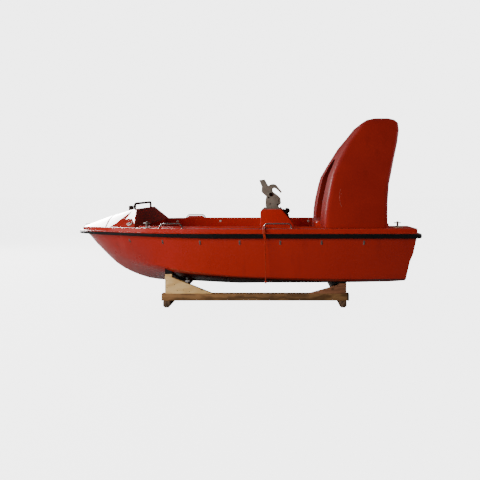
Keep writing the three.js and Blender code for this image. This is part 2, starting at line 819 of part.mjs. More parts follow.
function makeDoorHinge() {
  const pin = upright(DOOR_PIN.x, DOOR_PIN.y, DOOR_PIN.r, DOOR.low + 10, DOOR.high - 10);
  const lugs = [DOOR.low + 10, DOOR.low + 90, DOOR.high - 120, DOOR.high - 30].map((z) => {
    const arm = block(BULKHEAD_X + SEAT_GAP, DOOR_PIN.x, DOOR_PIN.y - 8, DOOR_PIN.y + 8, z, z + 20);
    return arm.add(upright(DOOR_PIN.x, DOOR_PIN.y, 10, z, z + 20));
  });
  return lugs.reduce((whole, lug) => whole.add(lug), pin);
}

function makeMotorPad() {
  const [foot, head] = [TRANSOM[2], TRANSOM[3]];
  const slope = Math.atan2(head[1] - foot[1], head[0] - foot[0]);
  const out = [Math.sin(slope), -Math.cos(slope)];
  const shift = (p, d) => [p[0] + out[0] * d, p[1] + out[1] * d];
  const between = (share) => foot.map((value, i) => value + (head[i] - value) * share);
  const low = between(0.08);
  const high = between(0.97);
  const profile = [shift(low, SEAT_GAP), shift(low, 26), shift(high, 26), shift(high, SEAT_GAP)];
  return acrossY(profile, -190, 190);
}

function sides(name, solid, finish) {
  addPiece(`${name}_port`, solid, finish);
  addPiece(`${name}_starboard`, mirrored(solid), finish);
}

const hull = makeHull();
addPiece('hull', hull, PAINT);
const deck = makeDeck();
addPiece('deck', deck, PAINT);
const cuddy = makeCuddy(deck);
addPiece('cuddy', cuddy, PAINT);
addPiece('righting_arch', makeFin(), PAINT);
addPiece('cockpit_sole', makeSole(), BLACK);
addPiece('console', makeConsole(), PAINT);
addPiece('helm_seat', makeSeat(), PAINT);
addPiece('motor_pad', makeMotorPad(), BLACK);
sides('fender', makeFender(), BLACK);

addPiece('hook_base', makeHookBase(), GALVANISED);
sides('hook_cheek', makeCheek(), GALVANISED);
addPiece('hook_lock', makeHookLock(), GALVANISED);
addPiece('hook_pin', makeHookPin(), GALVANISED);
addPiece('hook_claw', makeClaw(), GALVANISED);
addPiece('control_lever', makeControl(), BLACK);

for (const rail of GUNWALE_RAILS) {
  addPiece(rail.name, makeGunwaleRail(rail), STEEL);
}
addPiece('lanyard', makeLanyard(), ROPE);
addPiece('cuddy_rail', makeCuddyRail(cuddy), STEEL);
addPiece('bow_bitt', makeBowBitt(cuddy), STEEL);
addPiece('mooring_post_fore', makeMooringPost(-1066, -775), STEEL);
sides('mooring_post_aft', makeMooringPost(2020, -700), STEEL);

addPiece('locker_door', makeDoor(), PAINT);
addPiece('locker_hinge', makeDoorHinge(), STEEL);

for (const s of SADDLES) {
  const saddle = makeSaddle(s, hull);
  addPiece(`cradle_sleeper_${s.name}`, makeSleeper(s), OLD_WOOD);
  addPiece(`cradle_saddle_${s.name}`, saddle, BLACK);
  addPiece(`cradle_keel_block_${s.name}`, makeKeelBlock(s), PINE);
  sides(`cradle_gusset_${s.name}`, makeGusset(s, saddle), PINE);
}
sides('cradle_beam', makeBeam(), OLD_WOOD);

export default boat;
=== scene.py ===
# Open self-righting rescue boat of glass-reinforced plastic on its wooden cradle.
# Metres. Bow towards -X, port side towards -Y, +Z up.

import math

import bmesh
import bpy
from mathutils import Matrix, Vector
from mathutils.bvhtree import BVHTree


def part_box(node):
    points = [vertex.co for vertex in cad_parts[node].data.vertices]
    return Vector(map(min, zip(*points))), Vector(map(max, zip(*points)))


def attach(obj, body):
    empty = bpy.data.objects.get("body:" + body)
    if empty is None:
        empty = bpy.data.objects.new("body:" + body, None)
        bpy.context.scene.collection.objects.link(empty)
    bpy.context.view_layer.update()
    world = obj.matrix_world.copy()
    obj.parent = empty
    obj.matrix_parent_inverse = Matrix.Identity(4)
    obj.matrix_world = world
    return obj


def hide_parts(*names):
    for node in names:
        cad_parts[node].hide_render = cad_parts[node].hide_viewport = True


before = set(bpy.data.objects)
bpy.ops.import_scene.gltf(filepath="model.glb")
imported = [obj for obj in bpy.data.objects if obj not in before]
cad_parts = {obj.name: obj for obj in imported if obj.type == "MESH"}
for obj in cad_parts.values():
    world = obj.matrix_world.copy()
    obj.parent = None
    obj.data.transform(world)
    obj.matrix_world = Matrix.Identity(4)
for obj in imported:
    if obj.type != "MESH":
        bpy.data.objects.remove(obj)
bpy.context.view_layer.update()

# Camera: level, beside the port side, its principal point off the middle of the square picture
PICTURE = 480
FOCAL_PIXELS = 395
VANISHING_POINT = (278, 188.7)
SENSOR = 36
EYE = (0.538, -5.60, 1.476)

# Brightness of the floor and the background to the camera, and of the background to the boat
FLOOR_WHITE = 4.3
WORLD_WHITE = 4.4
WORLD_LIGHT = 0.03

# Places that the dressing repeats from the solids: the top of the side decks, the joint of hull
# and deck, and the after face of the cuddy's bulkhead
DECK_Z = 0.998
JOINT_Z = 0.943
BULKHEAD_X = -1.25

# Signs of Y on the port and the starboard side
SIDES = (-1, 1)

# Gap under a fitting that is set on a flat face of known height
SEAT_GAP = 0.0003


def rad(degrees):
    return math.radians(degrees)


def rgb(red, green, blue):
    return (red, green, blue, 1.0)


# Shader node helpers

# Sockets of the Mix node when it mixes colours
MIX_FACTOR, MIX_A, MIX_B = 0, 6, 7
MIX_RESULT = 2


def feed(tree, socket, value):
    if isinstance(value, bpy.types.NodeSocket):
        tree.links.new(value, socket)
    else:
        socket.default_value = value


def add_node(tree, kind, inputs=None, **settings):
    node = tree.nodes.new(kind)
    for key, value in settings.items():
        setattr(node, key, value)
    for key, value in (inputs or {}).items():
        feed(tree, node.inputs[key], value)
    return node


def new_group(name, inputs, outputs):
    tree = bpy.data.node_groups.new(name, "ShaderNodeTree")
    for label, kind, default in inputs:
        socket = tree.interface.new_socket(
            label, in_out="INPUT", socket_type="NodeSocket" + kind
        )
        socket.default_value = default
    for label, kind in outputs:
        tree.interface.new_socket(label, in_out="OUTPUT", socket_type="NodeSocket" + kind)
    return tree, tree.nodes.new("NodeGroupInput"), tree.nodes.new("NodeGroupOutput")


def stretched(tree, place, scale):
    return add_node(tree, "ShaderNodeMapping", {"Vector": place, "Scale": scale}).outputs[0]


def object_place(tree, scale=(1, 1, 1)):
    place = add_node(tree, "ShaderNodeTexCoord").outputs["Object"]
    return stretched(tree, place, scale)


def noise(tree, place, scale, detail=4, roughness=0.55):
    inputs = {"Vector": place, "Scale": scale, "Detail": detail, "Roughness": roughness}
    return add_node(tree, "ShaderNodeTexNoise", inputs).outputs["Fac"]


def ramp(tree, value, low, high, out_low=0.0, out_high=1.0):
    inputs = {
        "Value": value, "From Min": low, "From Max": high, "To Min": out_low, "To Max": out_high
    }
    return add_node(tree, "ShaderNodeMapRange", inputs).outputs[0]


def math_node(tree, operation, a, b):
    return add_node(tree, "ShaderNodeMath", {0: a, 1: b}, operation=operation).outputs[0]


def times(tree, a, b):
    return math_node(tree, "MULTIPLY", a, b)


def plus(tree, a, b):
    return math_node(tree, "ADD", a, b)


def mix_colour(tree, factor, a, b):
    inputs = {MIX_FACTOR: factor, MIX_A: a, MIX_B: b}
    return add_node(tree, "ShaderNodeMix", inputs, data_type="RGBA").outputs[MIX_RESULT]


# The colour with another laid over it where the mask is, as strongly as the share says
def cover(tree, colour, mask, share, over):
    return mix_colour(tree, times(tree, mask, share), colour, over)


# Effects that materials share

NOISE_MEAN = 0.5


# Broad patches, spread about their mean by the contrast, and fine specks
def build_mottle():
    tree, start, end = new_group(
        "mottle",
        [("Patch scale", "Float", 2.0), ("Fine scale", "Float", 40.0), ("Contrast", "Float", 1.0)],
        [("Patches", "Float"), ("Fine", "Float")],
    )
    place = object_place(tree)
    patches = noise(tree, place, start.outputs["Patch scale"], detail=5)
    fine = noise(tree, place, start.outputs["Fine scale"], detail=3)
    leaning = math_node(tree, "SUBTRACT", patches, NOISE_MEAN)
    spread = times(tree, leaning, start.outputs["Contrast"])
    tree.links.new(plus(tree, spread, NOISE_MEAN), end.inputs["Patches"])
    tree.links.new(fine, end.inputs["Fine"])
    return tree


RUN_STRETCH = (1, 1, 0.07)


# Grime that has run down upright faces
def build_runs():
    tree, start, end = new_group("runs", [("Scale", "Float", 14.0)], [("Mask", "Float")])
    place = object_place(tree, RUN_STRETCH)
    lines = noise(tree, place, start.outputs["Scale"], detail=4, roughness=0.6)
    streaks = ramp(tree, lines, 0.55, 0.75)
    broken = noise(tree, object_place(tree), scale=3.0, detail=2)
    tree.links.new(times(tree, streaks, broken), end.inputs["Mask"])
    return tree


# Dust on faces that look up, thicker in patches
def build_dust():
    tree, start, end = new_group("dust", [("Scale", "Float", 9.0)], [("Mask", "Float")])
    normal = add_node(tree, "ShaderNodeNewGeometry").outputs["Normal"]
    up = add_node(tree, "ShaderNodeSeparateXYZ", {0: normal}).outputs["Z"]
    upward = ramp(tree, up, 0.55, 1.0)
    cloud = noise(tree, object_place(tree), start.outputs["Scale"], detail=6, roughness=0.65)
    patches = ramp(tree, cloud, 0.35, 0.75)
    tree.links.new(times(tree, upward, patches), end.inputs["Mask"])
    return tree


# Dot product of the rounded and the true normal where wear starts and where it is full
WEAR_STARTS = 0.995
WEAR_FULL = 0.90


# Worn corners: where the rounded normal leaves the true one
def build_edge_wear():
    tree, start, end = new_group(
        "edge_wear",
        [("Width", "Float", 0.006), ("Noise scale", "Float", 30.0)],
        [("Mask", "Float")],
    )
    width = {"Radius": start.outputs["Width"]}
    rounded = add_node(tree, "ShaderNodeBevel", width, samples=4).outputs[0]
    true = add_node(tree, "ShaderNodeNewGeometry").outputs["Normal"]
    normals = {0: rounded, 1: true}
    dot = add_node(tree, "ShaderNodeVectorMath", normals, operation="DOT_PRODUCT")
    edge = ramp(tree, dot.outputs["Value"], WEAR_STARTS, WEAR_FULL)
    cloud = noise(tree, object_place(tree), start.outputs["Noise scale"], detail=4)
    broken = ramp(tree, cloud, 0.35, 0.6)
    tree.links.new(times(tree, edge, broken), end.inputs["Mask"])
    return tree


# How far the rings, the knots and the fibres are drawn out along the grain
RING_STRETCH = (0.35, 1, 1)
KNOT_STRETCH = (0.6, 1, 1)
FIBRE_STRETCH = (0.02, 1, 1)


# Sawn grain along the X of the place that comes in: year rings, fibres and a few knots
def build_grain():
    tree, start, end = new_group(
        "wood_grain",
        [("Place", "Vector", (0, 0, 0))],
        [("Rings", "Float"), ("Fibres", "Float"), ("Knots", "Float")],
    )
    place = start.outputs["Place"]
    wave_inputs = {
        "Vector": stretched(tree, place, RING_STRETCH),
        "Scale": 7.0, "Distortion": 9.0, "Detail": 3.0, "Detail Scale": 1.2,
    }
    wave = add_node(
        tree, "ShaderNodeTexWave", wave_inputs, wave_type="RINGS", rings_direction="X"
    )
    long_place = stretched(tree, place, FIBRE_STRETCH)
    fibres = noise(tree, long_place, scale=160.0, detail=4, roughness=0.7)
    cell_inputs = {
        "Vector": stretched(tree, place, KNOT_STRETCH), "Scale": 7.0, "Randomness": 1.0
    }
    cells = add_node(tree, "ShaderNodeTexVoronoi", cell_inputs)
    knots = ramp(tree, cells.outputs["Distance"], 0.14, 0.05)
    tree.links.new(wave.outputs["Fac"], end.inputs["Rings"])
    tree.links.new(fibres, end.inputs["Fibres"])
    tree.links.new(knots, end.inputs["Knots"])
    return tree


# Openness of a place to its own object at which the painted shade in hollows starts and at which it
# is full
HOLLOW_SHADE_STARTS = 0.82
HOLLOW_SHADE_FULL = 0.62


# Painted shade in deep hollows of the same object, where its own walls close round a place
def build_hollow_shade():
    tree, start, end = new_group("shade_in_hollows", [("Reach", "Float", 0.4)], [("Mask", "Float")])
    reach = {"Distance": start.outputs["Reach"]}
    shade = add_node(tree, "ShaderNodeAmbientOcclusion", reach, samples=8, only_local=True)
    mask = ramp(tree, shade.outputs["AO"], HOLLOW_SHADE_STARTS, HOLLOW_SHADE_FULL)
    tree.links.new(mask, end.inputs["Mask"])
    return tree


MOTTLE = build_mottle()
RUNS = build_runs()
DUST = build_dust()
EDGE_WEAR = build_edge_wear()
GRAIN = build_grain()
HOLLOW_SHADE_GROUP = build_hollow_shade()


# Materials

def use_group(tree, group, **values):
    node = tree.nodes.new("ShaderNodeGroup")
    node.node_tree = group
    for label, value in values.items():
        feed(tree, node.inputs[label.replace("_", " ").capitalize()], value)
    return node.outputs


def new_material(name, **uniform):
    material = bpy.data.materials.new(name)
    material.use_nodes = True
    tree = material.node_tree
    shader = tree.nodes["Principled BSDF"]
    for label, value in uniform.items():
        shader.inputs[label.replace("_", " ")].default_value = value
    return material, tree, shader


def link(tree, shader, **sources):
    for label, value in sources.items():
        tree.links.new(value, shader.inputs[label.replace("_", " ")])


def bump(tree, height, distance, strength):
    inputs = {"Height": height, "Distance": distance, "Strength": strength}
    return add_node(tree, "ShaderNodeBump", inputs).outputs[0]


# Span of the patches that roughness follows
PATCHES_LOW = 0.2
PATCHES_HIGH = 0.8


def by_patches(tree, spots, low, high):
    return ramp(tree, spots["Patches"], PATCHES_LOW, PATCHES_HIGH, low, high)


# Colours that lie over a material's own
RUN_GRIME = rgb(0.10, 0.012, 0.006)
# Darker colour laid over the lower side
LOW_SIDE_DARK = rgb(0.09, 0.02, 0.012)
# Painted shade for the bottom of the hull
BOTTOM_SHADE = rgb(0.045, 0.004, 0.003)
# Painted shade for the hollows
HOLLOW_SHADE_COLOUR = rgb(0.06, 0.004, 0.003)
RED_DUST = rgb(0.55, 0.33, 0.25)
GREY_DUST = rgb(0.28, 0.24, 0.20)
SOLE_DUST = rgb(0.35, 0.31, 0.27)
BARE_EDGE = rgb(0.55, 0.5, 0.44)
RUST = rgb(0.11, 0.045, 0.02)
KNOT_BROWN = rgb(0.10, 0.05, 0.025)
WOOD_STAIN = rgb(0.045, 0.032, 0.024)
WORN_ROPE = rgb(0.50, 0.12, 0.07)

# Heights between which the lower side grows darker
LOW_SIDE_DARK_TOP = 0.46
LOW_SIDE_DARK_FULL = 0.16

# Upper edge of the painted shade on the bottom, which rises towards the bow and stops aft of it
BOTTOM_SHADE_Z = 0.402
BOTTOM_SHADE_SLOPE = 0.05
BOTTOM_SHADE_BLUR = 0.004
BOTTOM_SHADE_END_X = -0.86
BOTTOM_SHADE_FULL_X = -0.76
BOTTOM_SHADE_SHARE = 0.92

# Distance over which the walls round a place make it a hollow
HOLLOW_REACH = 0.9


# Orange-red gelcoat: a little wavy and faded in patches, with grime that has run down, darker low
# on the side, painted shade on the bottom and, where hollow_shade is above 0, painted shade in the
# hollows
def gelcoat(
    name, fresh, faded, roughness=0.2, specular=0.35,
    coat_roughness=0.09, coat_low=0.35, coat_high=0.15, hollow_shade=0.0,
):
    material, tree, shader = new_material(
        name, Coat_Roughness=coat_roughness, IOR=1.45, Specular_IOR_Level=specular
    )
    spots = use_group(tree, MOTTLE, Patch_scale=1.6, Fine_scale=220.0, Contrast=1.3)
    colour = mix_colour(tree, spots["Patches"], fresh, faded)
    colour = cover(tree, colour, use_group(tree, RUNS, Scale=11.0)["Mask"], 0.35, RUN_GRIME)

    place = add_node(tree, "ShaderNodeSeparateXYZ", {0: object_place(tree)}).outputs
    # Darker towards the bottom of the side
    low_side = ramp(tree, place["Z"], LOW_SIDE_DARK_TOP, LOW_SIDE_DARK_FULL)
    colour = cover(tree, colour, low_side, 0.45, LOW_SIDE_DARK)
    # Painted shade on the bottom, below a line that rises towards the bow, faded out towards the
    # bow
    line = plus(tree, place["Z"], times(tree, place["X"], BOTTOM_SHADE_SLOPE))
    shaded_bottom = ramp(tree, line, BOTTOM_SHADE_Z + BOTTOM_SHADE_BLUR, BOTTOM_SHADE_Z - BOTTOM_SHADE_BLUR)
    astern = ramp(
        tree, place["X"], BOTTOM_SHADE_END_X, BOTTOM_SHADE_FULL_X, out_low=0.0, out_high=BOTTOM_SHADE_SHARE
    )
    colour = cover(tree, colour, shaded_bottom, astern, BOTTOM_SHADE)
    # Painted shade in the hollows that the object's own walls close round
    if hollow_shade:
        stain_and_shade = use_group(tree, HOLLOW_SHADE_GROUP, Reach=HOLLOW_REACH)["Mask"]
        colour = cover(tree, colour, stain_and_shade, hollow_shade, HOLLOW_SHADE_COLOUR)
    dust = times(tree, use_group(tree, DUST, Scale=7.0)["Mask"], 0.16)
    colour = mix_colour(tree, dust, colour, RED_DUST)

    rough = by_patches(tree, spots, roughness, roughness + 0.16)
    rough = plus(tree, rough, times(tree, dust, 1.2))
    waves = noise(tree, object_place(tree), scale=2.2, detail=1, roughness=0.3)
    normal = bump(tree, waves, distance=0.006, strength=0.25)
    coat = ramp(tree, spots["Patches"], 0.2, 0.9, coat_low, coat_high)
    link(tree, shader, Base_Color=colour, Roughness=rough, Normal=normal, Coat_Weight=coat)
    return material


def rubber(name, shade, dusty):
    material, tree, shader = new_material(name, IOR=1.48)
    spots = use_group(tree, MOTTLE, Patch_scale=6.0, Fine_scale=350.0, Contrast=1.4)
    pale = rgb(shade * 2, shade * 2, shade * 2.1)
    colour = mix_colour(tree, spots["Patches"], rgb(shade, shade, shade), pale)
    colour = cover(tree, colour, use_group(tree, DUST, Scale=12.0)["Mask"], dusty, GREY_DUST)
    rough = by_patches(tree, spots, 0.42, 0.62)
    normal = bump(tree, spots["Fine"], distance=0.0004, strength=0.35)
    link(tree, shader, Base_Color=colour, Roughness=rough, Normal=normal)
    return material


def bare_metal(name, light, dark, rough_low, rough_high, metallic=1.0, rust=0.0):
    material, tree, shader = new_material(name, Metallic=metallic)
    spots = use_group(tree, MOTTLE, Patch_scale=14.0, Fine_scale=180.0, Contrast=2.0)
    colour = mix_colour(tree, spots["Patches"], dark, light)
    wear = use_group(tree, EDGE_WEAR, Width=0.003, Noise_scale=60.0)["Mask"]
    colour = cover(tree, colour, wear, 0.5, BARE_EDGE)
    stains = ramp(tree, spots["Fine"], 0.56, 0.72, 0.0, rust)
    colour = mix_colour(tree, stains, colour, RUST)
    rough = by_patches(tree, spots, rough_low, rough_high)
    normal = bump(tree, spots["Fine"], distance=0.0003, strength=0.2)
    link(tree, shader, Base_Color=colour, Roughness=rough, Normal=normal)
    return material


# Turn that brings each axis of an object to the X of the grain
GRAIN_TURNS = {"X": (0, 0, 0), "Y": (0, 0, rad(90)), "Z": (0, rad(90), 0)}


# Sawn timber with its grain along one axis of the object
def timber(name, pale, dark, stain_and_shade, along="X", shift=0.0):
    material, tree, shader = new_material(name)
    place = add_node(tree, "ShaderNodeTexCoord").outputs["Object"]
    turned = add_node(tree, "ShaderNodeMapping", {
        "Vector": place, "Rotation": GRAIN_TURNS[along],
        "Location": (shift, shift * 0.7, shift * 0.3),
    })
    grain = use_group(tree, GRAIN, Place=turned.outputs[0])
    rings = times(tree, grain["Rings"], 0.6)
    factor = plus(tree, rings, times(tree, grain["Fibres"], 0.5))
    colour = mix_colour(tree, factor, pale, dark)
    colour = mix_colour(tree, grain["Knots"], colour, KNOT_BROWN)
    spots = use_group(tree, MOTTLE, Patch_scale=3.2, Fine_scale=90.0, Contrast=2.4)
    colour = cover(tree, colour, ramp(tree, spots["Patches"], 0.35, 0.85), stain_and_shade, WOOD_STAIN)
    wear = use_group(tree, EDGE_WEAR, Width=0.005, Noise_scale=24.0)["Mask"]
    colour = cover(tree, colour, wear, 0.3, pale)
    rough = ramp(tree, grain["Fibres"], 0.3, 0.7, 0.68, 0.86)
    normal = bump(tree, plus(tree, rings, grain["Fibres"]), distance=0.0015, strength=0.5)
    link(tree, shader, Base_Color=colour, Roughness=rough, Normal=normal)
    return material


# Moulded or painted trim, a little uneven
def plain(name, shade, roughness, specular=0.5):
    material, tree, shader = new_material(name, Specular_IOR_Level=specular)
    spots = use_group(tree, MOTTLE, Patch_scale=22.0, Fine_scale=300.0, Contrast=1.4)
    worn = rgb(*(channel * 0.7 for channel in shade[:3]))
    colour = mix_colour(tree, spots["Patches"], shade, worn)
    rough = by_patches(tree, spots, roughness, roughness + 0.15)
    normal = bump(tree, spots["Fine"], distance=0.0002, strength=0.2)
    link(tree, shader, Base_Color=colour, Roughness=rough, Normal=normal)
    return material


# Laid rope that hangs upright: its strands run round it as slanting bands, with painted shade in
# the grooves between them
def rope(name, bright, hollow_shade):
    material, tree, shader = new_material(name)
    place = add_node(tree, "ShaderNodeTexCoord").outputs["Object"]
    tilt = {"Vector": place, "Rotation": (0, rad(35), 0)}
    slant = add_node(tree, "ShaderNodeMapping", tilt).outputs[0]
    bands = {"Vector": slant, "Scale": 30.0}
    wave = add_node(tree, "ShaderNodeTexWave", bands, wave_type="BANDS", bands_direction="Z")
    strands = wave.outputs["Fac"]
    fuzz = noise(tree, place, scale=500.0, detail=3)
    spots = use_group(tree, MOTTLE, Patch_scale=12.0, Fine_scale=200.0, Contrast=1.6)
    # Painted shade: the grooves between the strands take the darker colour
    colour = mix_colour(tree, ramp(tree, strands, 0.0, 0.7), hollow_shade, bright)
    worn = ramp(tree, spots["Patches"], 0.3, 0.9, 0.0, 0.25)
    colour = mix_colour(tree, worn, colour, WORN_ROPE)
    height = plus(tree, strands, times(tree, fuzz, 0.3))
    rough = ramp(tree, fuzz, 0.3, 0.7, 0.75, 0.95)
    normal = bump(tree, height, distance=0.0012, strength=0.8)
    link(tree, shader, Base_Color=colour, Roughness=rough, Normal=normal)
    return material


# Non-slip sole: square studs, turned to diamonds, between grooves
def tread(name, dark, light):
    material, tree, shader = new_material(name)
    tilt = {"Vector": object_place(tree), "Rotation": (0, 0, rad(45))}
    turned = add_node(tree, "ShaderNodeMapping", tilt).outputs[0]
    cells = add_node(tree, "ShaderNodeTexBrick", {
        "Vector": turned, "Scale": 14.0, "Mortar Size": 0.03,
        "Color1": rgb(1, 1, 1), "Color2": rgb(1, 1, 1), "Mortar": rgb(0, 0, 0),
        "Brick Width": 0.5, "Row Height": 0.5,
    }, offset=0.0)
    spots = use_group(tree, MOTTLE, Patch_scale=5.0, Fine_scale=260.0, Contrast=1.8)
    colour = mix_colour(tree, spots["Patches"], dark, light)
    colour = cover(tree, colour, use_group(tree, DUST, Scale=8.0)["Mask"], 0.35, SOLE_DUST)
    height = add_node(tree, "ShaderNodeRGBToBW", {0: cells.outputs["Color"]}).outputs[0]
    rough = ramp(tree, spots["Fine"], 0.3, 0.7, 0.6, 0.8)
    normal = bump(tree, height, distance=0.0015, strength=0.6)
    link(tree, shader, Base_Color=colour, Roughness=rough, Normal=normal)
    return material


# Reds of the gelcoat: fresh and faded, and the darker two of the arch, whose darkness is painted
# shade
FRESH = rgb(0.46, 0.020, 0.014)
FADED = rgb(0.52, 0.030, 0.018)
SHADED = rgb(0.29, 0.016, 0.013)
SHADED_ARCH_RED = rgb(0.42, 0.026, 0.018)

GELCOAT = gelcoat("orange_red_gelcoat", FRESH, FADED)
FOREDECK_GELCOAT = gelcoat(
    "polished_gelcoat", FRESH, FADED, specular=0.0,
    coat_roughness=0.02, coat_low=1.0, coat_high=1.0,
)
# Gelcoat of the arch: painted shade in its darker reds and, through hollow_shade, in its hollows
ARCH_GELCOAT = gelcoat(
    "satin_gelcoat", SHADED, SHADED_ARCH_RED, roughness=0.42, specular=0.06,
    coat_roughness=0.25, coat_low=0.02, coat_high=0.0, hollow_shade=0.9,
)
RUBBER = rubber("black_rubber", shade=0.006, dusty=0.2)
SADDLE_RUBBER = rubber("saddle_rubber", shade=0.007, dusty=0.15)
PLASTIC = rubber("black_plastic", shade=0.012, dusty=0.12)
STAINLESS = bare_metal(
    "stainless_tube", rgb(0.62, 0.60, 0.57), rgb(0.42, 0.40, 0.38),
    rough_low=0.18, rough_high=0.36,
)
GALVANISED = bare_metal(
    "galvanised_plate", rgb(0.30, 0.26, 0.21), rgb(0.20, 0.17, 0.135),
    rough_low=0.5, rough_high=0.7, metallic=0.2, rust=0.2,
)
DARK_STEEL = bare_metal(
    "tarnished_tube", rgb(0.06, 0.04, 0.03), rgb(0.025, 0.016, 0.013),
    rough_low=0.4, rough_high=0.6, metallic=0.3, rust=0.2,
)
DULL_STEEL = bare_metal(
    "dull_steel", rgb(0.24, 0.21, 0.18), rgb(0.12, 0.10, 0.09),
    rough_low=0.45, rough_high=0.6, metallic=0.3, rust=0.15,
)
PIN_STEEL = bare_metal(
    "greased_pin", rgb(0.09, 0.07, 0.05), rgb(0.03, 0.024, 0.02),
    rough_low=0.4, rough_high=0.6, rust=0.3,
)
PINE = timber("fresh_pine", rgb(0.98, 0.68, 0.31), rgb(0.76, 0.46, 0.17), stain_and_shade=0.10)
BROWN_PINE = timber(
    "stained_pine", rgb(0.40, 0.17, 0.085), rgb(0.24, 0.095, 0.05), stain_and_shade=0.3, shift=0.7
)
DARK_BLOCK = timber(
    "tarred_block", rgb(0.05, 0.032, 0.022), rgb(0.02, 0.013, 0.010), stain_and_shade=0.4, along="Z"
)
OLD_WOOD = timber(
    "weathered_timber", rgb(0.40, 0.21, 0.085), rgb(0.12, 0.058, 0.026), stain_and_shade=0.5, shift=0.2
)
SLEEPER_WOOD = timber(
    "sleeper_timber", rgb(0.22, 0.13, 0.075), rgb(0.08, 0.05, 0.03), stain_and_shade=0.7, along="Y"
)
TREAD = tread("non_slip_sole", rgb(0.10, 0.10, 0.10), rgb(0.17, 0.165, 0.155))
WHITE_PLASTIC = plain("white_plastic", rgb(0.62, 0.55, 0.48), roughness=0.35)
SCUFF = plain("scuffed_gelcoat", rgb(0.55, 0.14, 0.09), roughness=0.6)
PAD_RESIN = plain("resin_pad", rgb(0.55, 0.42, 0.26), roughness=0.5)
SEALANT = plain("dark_sealant", rgb(0.45, 0.03, 0.02), roughness=0.7, specular=0.02)
GAUGE_FACE = plain("gauge_face", rgb(0.02, 0.02, 0.022), roughness=0.25)
GAUGE_WHITE = plain("gauge_marks", rgb(0.75, 0.75, 0.72), roughness=0.5)
# The rope's darker red is the painted shade of its grooves
ROPE = rope("red_rope", rgb(0.54, 0.045, 0.020), rgb(0.30, 0.018, 0.009))


# Finished pieces

def finish_piece(name, bm, material, body="boat", sharp=35):
    mesh = bpy.data.meshes.new(name)
    bm.to_mesh(mesh)
    bm.free()
    mesh.polygons.foreach_set("use_smooth", [True] * len(mesh.polygons))
    mesh.set_sharp_from_angle(angle=rad(sharp))
    mesh.materials.append(material)
    piece = bpy.data.objects.new(name, mesh)
    bpy.context.scene.collection.objects.link(piece)
    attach(piece, body)
    return piece


# Distance under which vertices merge, and the turn under which faces count as one, in degrees
MERGE_DISTANCE = 2e-5
FLAT_TURN = 0.4


def merged_copy(node):
    bm = bmesh.new()
    bm.from_mesh(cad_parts[node].data)
    bmesh.ops.remove_doubles(bm, verts=bm.verts, dist=MERGE_DISTANCE)
    bmesh.ops.dissolve_limit(bm, angle_limit=rad(FLAT_TURN), verts=bm.verts, edges=bm.edges)
    return bm


# Rounds the edges that turn by more than so many degrees and, where keep is given, pass it
def round_edges(bm, width, segments, over, keep):
    edges = [
        edge for edge in bm.edges
        if edge.calc_face_angle(0) > rad(over) and (keep is None or keep(edge))
    ]
    bmesh.ops.bevel(
        bm, geom=edges, offset=width, offset_type="OFFSET", segments=segments, profile=0.5,
        affect="EDGES", clamp_overlap=True, material=-1,
    )


# The piece that stands for a node: the node's own shape, made thicker along each axis by paint,
# with edges rounded over width where they turn by more than over, in degrees
def dress(
    node, material, width=0.0, segments=3, over=28, keep=None,
    body="boat", sharp=35, paint=(0, 0, 0),
):
    bm = merged_copy(node)
    for vert in bm.verts:
        vert.co += vert.normal * Vector(paint)
    if width:
        round_edges(bm, width, segments, over, keep)
    piece = finish_piece(node + "_dressed", bm, material, body, sharp)
    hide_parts(node)
    return piece


# Turn, in degrees, and area of the faces from which a low crease counts as a knuckle
KNUCKLE_TURN = 2
KNUCKLE_FACE_AREA = 0.01


# Low creases between large faces stay crisp
def crisp_knuckles(piece):
    bm = bmesh.new()
    bm.from_mesh(piece.data)
    for edge in bm.edges:
        large = all(face.calc_area() > KNUCKLE_FACE_AREA for face in edge.link_faces)
        if large and edge.calc_face_angle(0) > rad(KNUCKLE_TURN):
            edge.smooth = False
    bm.to_mesh(piece.data)
    bm.free()


# How far from the joint's height a vertex counts as on the joint
JOINT_REACH = 0.001


# Edges where the hull and the deck meet stay as they are, so that no gap opens between the two
def off_the_joint(edge):
    return not all(abs(vert.co.z - JOINT_Z) < JOINT_REACH for vert in edge.verts)


def longer_than(length):
    return lambda edge: edge.calc_length() > length and off_the_joint(edge)


dress("hull", GELCOAT, width=0.006, keep=longer_than(0.02))
dress("deck", GELCOAT, width=0.006, over=50, keep=longer_than(0.002))
crisp_knuckles(dress("cuddy", FOREDECK_GELCOAT, width=0.012, segments=4, over=8))
dress("righting_arch", ARCH_GELCOAT, width=0.007, over=45)
dress("console", GELCOAT, width=0.016, segments=4, over=20)
dress("helm_seat", GELCOAT, width=0.015, segments=4)
dress("locker_door", GELCOAT, body="locker_door")
dress("cockpit_sole", TREAD, width=0.003)
dress("motor_pad", RUBBER, width=0.004)
for side in ("port", "starboard"):
    dress("fender_" + side, RUBBER, sharp=50)
    dress("hook_cheek_" + side, GALVANISED, width=0.0012, segments=2)
    dress("cradle_beam_" + side, OLD_WOOD, width=0.003, segments=2)
    dress("cradle_gusset_front_" + side, PINE, width=0.002, segments=2)
    dress("cradle_gusset_rear_" + side, BROWN_PINE, width=0.002, segments=2)
    dress("mooring_post_aft_" + side, DULL_STEEL)
    dress("handrail_fore_" + side, STAINLESS, sharp=60)
    dress("handrail_mid_" + side, STAINLESS, sharp=60)
dress("hook_base", GALVANISED, width=0.002, segments=2)
dress("hook_pin", PIN_STEEL, width=0.001, segments=2)
dress("hook_lock", GALVANISED, width=0.002, segments=2)
dress(
    "hook_claw", GALVANISED, width=0.0015, segments=2, body="hook_claw",
    paint=(0.005, 0, 0.005),
)
dress("control_lever", PLASTIC, width=0.004, paint=(0.004, 0.004, 0.004))
dress("cuddy_rail", DARK_STEEL, sharp=60, paint=(0.005, 0.005, 0.005))
